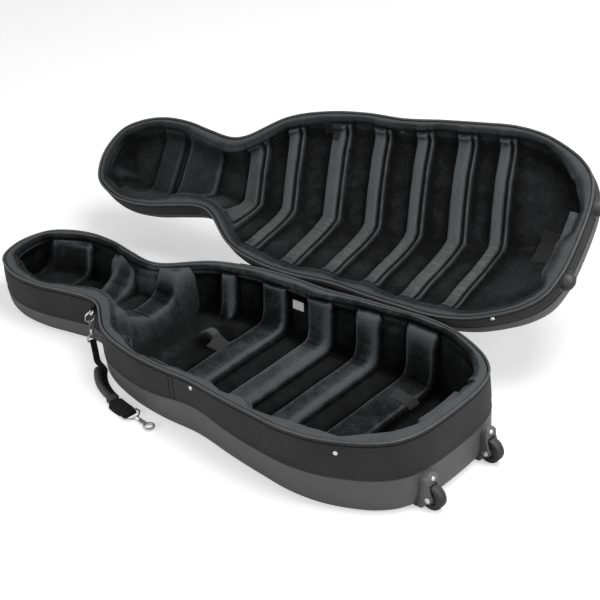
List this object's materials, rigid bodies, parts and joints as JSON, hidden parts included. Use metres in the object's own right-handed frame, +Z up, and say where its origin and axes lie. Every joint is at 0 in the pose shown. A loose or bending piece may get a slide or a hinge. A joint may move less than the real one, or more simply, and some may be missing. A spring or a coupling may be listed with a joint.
{
  "type": "cello hard case",
  "caption": "Shaped hard case for a cello, shown open: padded base and hinged lid, wheels at the bottom end and a clip-on carrying strap.",
  "frame": {"origin": "middle of the bounding box, on the ground the case lies on", "axes": "+X along the case from the scroll end to the wheels, +Y from the base towards the open lid, +Z up"},
  "size_m": [1.4022, 0.9884, 0.4428],
  "materials": {
    "tub": "semi-matte moulded",
    "band_fabric": "woven",
    "zip": "satin",
    "piping": "satin",
    "plush": "short pile",
    "hook_and_loop": "looped",
    "label": "plain white",
    "moulding": "satin moulded",
    "tyre": "matte",
    "bumper": "matte",
    "bright_metal": "polished",
    "webbing": "woven webbing",
    "grip": "soft matte"
  },
  "bodies": {
    "base": {"base_shell": "tub", "base_side_band": "band_fabric", "base_zip_chain": "zip", "base_piping": "piping", "base_lining": "plush", "neck_cradle": "plush", "base_end_pad": "plush", "wheel_bracket_left": "moulding", "wheel_bracket_right": "moulding", "wheel_axle_left": "bright_metal", "wheel_axle_right": "bright_metal", "base_spine": "band_fabric", "care_label": "label", "front_velcro_patch": "hook_and_loop", "rear_velcro_patch": "hook_and_loop", "band_rivet_front": "bright_metal", "band_rivet_rear": "bright_metal", "bracket_rivet_left": "bright_metal", "bracket_rivet_right": "bright_metal", "zip_slider_head": "bright_metal", "zip_slider_tail": "bright_metal", "neck_tab": "webbing", "upper_hook_body": "bright_metal"},
    "lid": {"lid_shell": "tub", "lid_side_band": "band_fabric", "lid_zip_chain": "zip", "lid_piping": "piping", "lid_lining": "plush", "lid_end_pad": "plush", "lid_bumper_left": "bumper", "lid_bumper_right": "bumper", "lid_spine": "band_fabric", "lid_pocket": "hook_and_loop", "scroll_pocket": "hook_and_loop", "lid_end_strap": "hook_and_loop", "lid_snap": "moulding", "band_rivet_lid": "bright_metal"},
    "wheel_left": {"wheel_hub_left": "moulding", "wheel_tyre_left": "tyre"},
    "wheel_right": {"wheel_hub_right": "moulding", "wheel_tyre_right": "tyre"},
    "ring": {"neck_ring": "bright_metal"},
    "upper_gate": {"upper_hook_gate": "bright_metal"},
    "strap": {"upper_hook_eye": "bright_metal", "strap_webbing": "webbing", "strap_grip": "grip", "strap_keeper": "webbing", "strap_fold": "webbing", "lower_hook_eye": "bright_metal"},
    "lower_hook": {"lower_hook_body": "bright_metal"},
    "lower_gate": {"lower_hook_gate": "bright_metal"},
    "pull_head": {"zip_pull_head": "bright_metal"},
    "pull_tail": {"zip_pull_tail": "bright_metal"}
  },
  "joints": [
    {"name": "lid_hinge", "type": "hinge", "parent": "base", "child": "lid", "pos_m": [-0.02337, 0.00368, 0.14832], "axis": [0.996, 0.071, 0.0538], "range_deg": [0, 147.2]},
    {"name": "wheel_left_spin", "type": "hinge", "parent": "base", "child": "wheel_left", "pos_m": [0.67213, -0.12267, 0.029], "axis": [0, 1, 0], "continuous": true},
    {"name": "wheel_right_spin", "type": "hinge", "parent": "base", "child": "wheel_right", "pos_m": [0.67213, -0.32067, 0.029], "axis": [0, 1, 0], "continuous": true},
    {"name": "neck_ring_tilt", "type": "hinge", "parent": "base", "child": "ring", "pos_m": [-0.29403, -0.33536, 0.11986], "axis": [0.8359, -0.5489, 0], "range_deg": [0, 12]},
    {"name": "upper_gate_open", "type": "hinge", "parent": "base", "child": "upper_gate", "pos_m": [-0.3049, -0.35192, 0.09011], "axis": [-0.8359, 0.5489, 0], "range_deg": [0, 25], "stiffness_Nm_per_rad": 0.02, "springref_deg": -17.19},
    {"name": "strap_swing", "type": "hinge", "parent": "base", "child": "strap", "pos_m": [-0.29903, -0.34298, 0.03881], "axis": [0, 0, -1], "range_deg": [0, 60]},
    {"name": "lower_hook_swivel", "type": "hinge", "parent": "strap", "child": "lower_hook", "pos_m": [-0.04353, -0.47156, 0.005], "axis": [0.9932, -0.1167, 0], "continuous": true},
    {"name": "lower_gate_open", "type": "hinge", "parent": "lower_hook", "child": "lower_gate", "pos_m": [0.00617, -0.48818, 0.005], "axis": [0, 0, 1], "range_deg": [0, 25], "stiffness_Nm_per_rad": 0.02, "springref_deg": -17.19},
    {"name": "pull_head_swing", "type": "hinge", "parent": "base", "child": "pull_head", "pos_m": [-0.21561, -0.0494, 0.12948], "axis": [0.8665, 0.497, 0.0468], "range_deg": [0, 110]},
    {"name": "pull_tail_swing", "type": "hinge", "parent": "base", "child": "pull_tail", "pos_m": [0.53463, 0.0056, 0.16998], "axis": [0.9148, -0.4009, 0.0494], "range_deg": [0, 110]}
  ]
}
